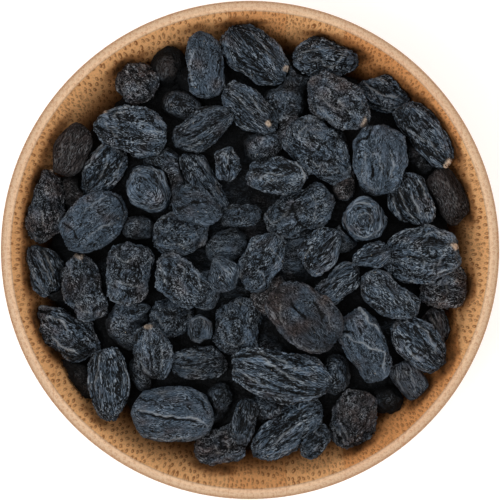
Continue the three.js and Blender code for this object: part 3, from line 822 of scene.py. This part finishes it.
# the creases, raised lines and spots that the photograph shows on this raisin
def addMarks(piece, number):
    points = readPoints(piece)
    normals = readNormals(piece)
    pixels = photoPixels(points)
    facing = np.clip(normals[:, 2] * 3 + 0.2, 0, 1)
    found = {kind: np.zeros(len(points)) for kind in ("ridge", "crease", "bold", "dot", "stem")}
    for kind, own in marks.get(number, {}).items():
        for mark in own:
            if kind == "dot":
                strength = spotStrength(pixels, mark, marking["dotRadius"])
            elif kind == "stem":
                strength = lineStrength(pixels, mark, marking["stemWidth"], power=4)
            else:
                steady = marking["boldSteady"] if kind == "bold" else marking["steady"]
                strength = lineStrength(pixels, mark, marking[kind + "Width"], steady=steady) * facing
            found[kind] = np.maximum(found[kind], strength)
    found["stem"] *= (normals[:, 2] > -0.3) * (marking["faintStem"] if number in faintStems else 1)
    found["dot"] *= normals[:, 2] > 0
    pushOut(piece, sum(found[kind] * marking[kind + "Height"] for kind in found))
    return found


# flattened sides, where each raisin has dried against others
def flattened(points, seed):
    chance = np.random.default_rng(seed)
    for _ in range(raisin["sides"]):
        toward = chance.normal(size=3)
        toward /= np.linalg.norm(toward)
        reach = points @ toward
        limit = reach.max() - chance.uniform(*raisin["sideDepth"]) * mm
        over = np.maximum(reach - limit, 0)
        points = points - np.outer(over * raisin["sidePress"], toward)
    return points


def wrinkled(piece, kind, middle, axes, seed, number):
    style = wrinkles[kind]
    points = readPoints(piece)
    skin = skinCoordinates(points, middle, axes, kind)
    if number:
        points = flattened(points, seed)
    lumps = waves(points / mm / raisin["lumpSize"], seed + 11)
    outline = readNormals(piece)[:, 2]
    points += readNormals(piece) * (lumps * style["lump"] * mm)[:, None]
    writePoints(piece, points)
    shift = [waves(skin / raisin["warpSize"] * 1.7, seed + i) for i in (1, 2, 3)]
    skin = skin + raisin["warp"] * np.stack(shift, axis=1)
    foldDepth, foldSize = style["fold"]
    folds = 0.7 * billow(skin, foldSize, seed + 4) + 0.3 * waves(skin / foldSize * 0.6, seed + 5)
    points += readNormals(piece) * ((folds - 0.45) * foldDepth * mm)[:, None]
    writePoints(piece, points)
    found = addMarks(piece, number)
    cluster = np.clip(0.9 + 0.9 * waves(points / mm / raisin["cluster"], seed + 13), 0.4, 1.5)
    depth, size = style["wrinkle"]
    if not style["rings"]:
        skin = skin * (1.5, 1, 1)
    lines = (crests(skin, size, seed + 6) - 0.7 * crests(skin, size * 1.2, seed + 7)) * cluster
    pushOut(piece, (lines - 0.1) * depth)
    fineDepth, fineSize = style["crumple"]
    crumple = crests(skin, fineSize, seed + 8) - 0.5 * crests(skin, fineSize * 0.8, seed + 9) - 0.3
    crumple = crumple * cluster
    points = pushOut(piece, crumple * fineDepth)
    # relief is turned into painted shade in the creases and painted light on the tops of folds
    relief = 0.56 + style["contrast"] * (0.56 * (folds - 0.5) + 0.18 * lines + 0.16 * crumple)
    broken = np.clip(0.5 + waves(points / mm / raisin["brokenSize"], seed + 12), 0, 1)
    # a broken pale band of painted sheen where the side turns steep
    edgeSheen = np.exp(-((outline - raisin["edgeTurn"]) / raisin["edgeWidth"]) ** 2) * broken
    relief += 0.5 * found["ridge"] + found["bold"] - 0.8 * found["crease"] + 0.25 * edgeSheen
    # the rubbed attribute carries pale rubbed lines and dots together with the painted sheen
    pale = np.maximum(np.maximum(found["ridge"], 0.45 * edgeSheen), found["dot"])
    writeAttribute(piece, "rubbedAndEdgeSheen", np.maximum(pale, raisin["boldRub"] * found["bold"]))
    writeAttribute(piece, "scar", found["stem"])
    writeAttribute(piece, "relief", np.clip(relief, 0, 1))
    writeAttribute(piece, "skin", skin)
    writeAttribute(piece, "drawn", np.full(len(points), style["drawn"]))


# which parts of the pile can be seen from anywhere outside it
def sightTree():
    points, faces = [], []
    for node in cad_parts.values():
        start = len(points)
        points += [vertex.co.copy() for vertex in node.data.vertices]
        faces += [[start + corner for corner in face.vertices] for face in node.data.polygons]
    return BVHTree.FromPolygons(points, faces)


# straight up, a steep ring of 6, and a lower ring of the rest
def sightLines():
    lines = [Vector((0, 0, 1))]
    for ring, lift in ((6, 0.55), (raisin["sightDirections"] - 7, 1.1)):
        for i in range(ring):
            turn = 2 * math.pi * (i + 0.5 * (ring % 2)) / ring
            lines.append(Vector((math.sin(turn) * lift, math.cos(turn) * lift, 1)).normalized())
    return lines


def hiddenWeights(piece, tree, lines):
    points = readPoints(piece)
    normals = readNormals(piece)
    cell = raisin["sightCell"] * mm
    _, first = np.unique(np.floor(points / cell).astype(np.int64), axis=0, return_index=True)
    seen = KDTree(len(first))
    inSight = []
    for order, i in enumerate(first):
        start = Vector(points[i] + normals[i] * raisin["sightLift"] * mm)
        facing = Vector(normals[i])
        inSight.append(any(facing.dot(line) > -0.2 and tree.ray_cast(start, line)[0] is None
                           for line in lines))
        seen.insert(points[i], order)
    seen.balance()
    hidden = np.zeros(len(points))
    for i, point in enumerate(points):
        hidden[i] = not any(inSight[order] for _, order, _ in seen.find_n(point, 3))
    return hidden


def trianglesOf(piece):
    return sum(len(face.vertices) - 2 for face in piece.data.polygons)


def areaInSight(piece, hidden):
    shown = 0.0
    for face in piece.data.polygons:
        if hidden[face.vertices[0]] < 0.5:
            shown += face.area
    return shown / mm ** 2


def thinHidden(piece, hidden, target):
    group = piece.vertex_groups.new(name="hidden")
    group.add([int(i) for i in np.nonzero(hidden > 0.5)[0]], 1.0, "REPLACE")
    share = float(hidden.mean())
    ratio = max(raisin["leastKept"], 1 - raisin["hiddenCut"] * share)
    addModifier(piece, "DECIMATE", ratio=ratio, vertex_group="hidden")
    piece.vertex_groups.remove(piece.vertex_groups["hidden"])
    count = trianglesOf(piece)
    if count > target:
        addModifier(piece, "DECIMATE", ratio=target / count)


def fitToNode(piece, name):
    low, high = (np.array(corner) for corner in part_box(name))
    points = readPoints(piece)
    grow = (high - low) / (points.max(axis=0) - points.min(axis=0))
    middle = (points.max(axis=0) + points.min(axis=0)) / 2
    writePoints(piece, (points - middle) * grow + (low + high) / 2)


def makeRaisin(name, tree, lines):
    kind, number = name.split("_")[1], int(name.split("_")[2])
    piece = copyOfNode(name, "skin_" + name)
    middle, axes = ownAxes(readPoints(piece))
    addModifier(piece, "SUBSURF", levels=2, render_levels=2)
    fitToNode(piece, name)
    addModifier(piece, "REMESH", mode="VOXEL", voxel_size=raisin["voxel"], use_smooth_shade=True)
    hidden = hiddenWeights(piece, tree, lines)
    wrinkled(piece, kind, middle, axes, 100 * number, number)
    brown = brownness.get(number, raisin["brownLeast"]) + raisin["brownSpread"] * rng.random()
    writeAttribute(piece, "brown", np.full(len(hidden), brown))
    # painted shade on raisins that lie low in the pile, partly also their own darker tone
    writeAttribute(piece, "paintedShadeAndDarkTone", np.full(len(hidden), shadeAndDarkTone.get(number, 0)))
    target = areaInSight(piece, hidden) * raisin["trianglesPerSquareMm"] + raisin["spareTriangles"]
    thinHidden(piece, hidden, target)
    bpy.ops.object.shade_smooth()
    return piece


# how brown single raisins are, and how much darker each is made: partly its own darker tone, partly painted
# shade where it lies low in the pile; the others are a plain blue-black
brownness = {1: 0.45, 3: 0.85, 5: 0.35, 11: 0.2, 23: 0.15, 24: 0.25, 26: 0.15, 36: 0.3, 41: 0.9,
             45: 0.4, 46: 0.3, 51: 0.35, 54: 0.3, 57: 0.25}
shadeAndDarkTone = {3: 0.6, 6: 0.1, 16: 0.15, 17: 0.4, 20: 0.15, 21: 0.25, 22: 0.25, 27: 0.15, 28: 0.15, 30: 0.2,
            31: 0.45, 33: 0.1, 36: 0.35, 37: 0.15, 38: 0.4, 41: 0.6, 43: 0.15, 44: 0.1, 46: 0.45,
            49: 0.5, 52: 0.45, 54: 0.25, 57: 0.15, 58: 0.35}


# the brown ones among the raisins in the gaps: pixel and how far around it
brownSpots = [((268, 294), 20), ((80, 376), 24), ((344, 184), 16), ((73, 193), 14), ((168, 66), 14)]


def makeLowerRaisins(tree, lines):
    piece = copyOfNode("lower_raisins", "deeper_raisins")
    middle = readPoints(piece).mean(axis=0)
    addModifier(piece, "SUBSURF", levels=1, render_levels=1)
    addModifier(piece, "REMESH", mode="VOXEL", voxel_size=raisin["heapVoxel"], use_smooth_shade=True)
    hidden = hiddenWeights(piece, tree, lines)
    wrinkled(piece, "lower", middle, np.eye(3), 7, 0)
    height = readPoints(piece)[:, 2] / mm
    brown = 0.12 + 0.3 * waves(readPoints(piece) / (14 * mm), 3)
    pixels = photoPixels(readPoints(piece))
    for spot, reach in brownSpots:
        brown = np.maximum(brown, spotStrength(pixels, spot, reach))
    writeAttribute(piece, "brown", np.clip(brown, 0, 1))
    # painted shade, darker the deeper the point lies in the pile
    writeAttribute(piece, "paintedShadeAndDarkTone", np.clip((raisin["paintedShadeTop"] - height) / raisin["paintedShadeDepth"], 0.05, 0.97))
    thinHidden(piece, hidden, raisin["heapTriangles"])
    bpy.ops.object.shade_smooth()
    return piece


# the near-black crease tone is also painted shade in creases and low in the pile; the bloom tone also stands
# for painted light on the tops of folds
skinColors = {
    "crease": shade(4, 5, 6),
    "slate": shade(53, 66, 79),
    "bloomAndLitTop": shade(79, 97, 117),
    "ridge": shade(134, 141, 147),
    "speck": shade(196, 184, 166),
    "brown": shade(57, 46, 44),
    "brownRidge": shade(98, 84, 79),
    "rubbedAndEdgeSheen": shade(138, 140, 140),
    "scar": shade(224, 200, 176),
    "scarDark": shade(96, 70, 56),
}


# noise scales to the metre; a kind of line has its scale, detail and level, and where it fades
skinPattern = {
    "patches": 260, "tint": 210, "cluster": 330, "clusterShift": (0.03, 0.05, 0.02), "wander": 900,
    "wanderReach": (0.4, 0.4, 0.4), "scar": 1800, "grain": 4200, "crumbs": 420,
    "fine": (2.4, 0.0, 0.5, (0.0, 0.14)),
    "line": (1.1, 1.0, 0.5, (0.0, 0.05)),
    "groove": (1.7, 0.0, 0.47, (0.01, 0.09)),
}


def raisinFinish():
    board = Board("raisinSkin")
    read = {name: board.attribute(name)
            for name in ("relief", "brown", "rubbedAndEdgeSheen", "scar", "paintedShadeAndDarkTone", "drawn")}
    place = board.add("TexCoord", {}, {}, "Object")
    patches = board.noise(place, skinPattern["patches"], 2.0)
    # wrinkles come in clusters with calm skin between them, and break up along their length
    beside = board.vectorMaths("ADD", place, skinPattern["clusterShift"])
    cluster = board.noise(beside, skinPattern["cluster"], 1.0).between(0.4, 0.6)
    broken = board.drifted(board.attribute("skin", "Vector"), place, skinPattern["wander"],
                           skinPattern["wanderReach"])
    fine, line, groove = (board.thinLines(broken, *skinPattern[name])
                          for name in ("fine", "line", "groove"))
    grain = board.noise(place, skinPattern["grain"], 2.0)
    strength = (0.7 + 0.5 * cluster) * (0.3 + 0.7 * read["drawn"])
    height = read["relief"] + (0.44 * (fine - 0.5) - 0.6 * groove) * strength
    tint = read["brown"] + 1.3 * (board.noise(place, skinPattern["tint"], 1.0) - 0.47)
    tint = tint.between(0.05, 0.7)
    base = board.colorMix(tint, skinColors["slate"], skinColors["brown"])
    light = board.colorMix(tint, skinColors["bloomAndLitTop"], skinColors["brownRidge"])
    # painted shade in the creases and low places, painted light on the tops of folds
    color = board.colorMix(height.between(0.02, 0.46), skinColors["crease"], base)
    color = board.colorMix(height.between(0.4, 0.85), color, light)
    pale = fine.most(line) * height.between(0.2, 0.75) * (0.38 + 0.44 * cluster) * read["drawn"]
    # scattered crumbs of dry bloom
    crumb = board.add("TexVoronoi", {}, {"Vector": place, "Scale": skinPattern["crumbs"]}, "Distance")
    crumbTone = board.add("TexWhiteNoise", {}, {"Vector": crumb.sibling("Position")}, "Value")
    crumbs = (1 - crumb.between(0.035, 0.075)) * crumbTone.between(0.45, 1.0) * 0.7
    # the rubbed tone is also a painted sheen along the outlines
    layers = [(pale, "ridge"), ((grain - 0.5).between(0.1, 0.3) * 0.3, "ridge"), (crumbs, "speck"),
              (read["rubbedAndEdgeSheen"] * 0.5, "rubbedAndEdgeSheen")]
    for share, tone in layers:
        color = board.colorMix(share, color, skinColors[tone])
    scarred = board.noise(place, skinPattern["scar"], 2.0).between(0.48, 0.72)
    scar = board.colorMix(scarred, skinColors["scar"], skinColors["scarDark"])
    color = board.colorMix(read["scar"] * 0.9, color, scar)
    # painted shade over raisins that lie low, together with the darker tone of some
    color = board.colorMix(read["paintedShadeAndDarkTone"], color, skinColors["crease"])
    bump = board.add("Bump", {}, {"Strength": 1.0, "Distance": 0.00015,
                                  "Height": 0.7 * fine + 0.5 * line - 0.7 * groove + 0.15 * grain})
    return board.finish(board.add("BsdfPrincipled", {}, {
        "Base Color": color, "Roughness": 0.55 + 0.25 * patches, "Normal": bump,
        "Specular IOR Level": 0.13}))


def dress(piece, node, finish):
    piece.data.materials.clear()
    piece.data.materials.append(finish)
    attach(piece, "root")
    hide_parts(node)


print("studio")
addStudio()
print("bowl")
dress(makeBowl(), "bowl", bambooFinish())
print("raisins")
skinFinish = raisinFinish()
tree = sightTree()
lines = sightLines()
total = 0
for name in sorted(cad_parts):
    if name.startswith("raisin_"):
        piece = makeRaisin(name, tree, lines)
        dress(piece, name, skinFinish)
        total += trianglesOf(piece)
print("deeper raisins")
deeper = makeLowerRaisins(tree, lines)
dress(deeper, "lower_raisins", skinFinish)
print("triangles", total, trianglesOf(deeper))
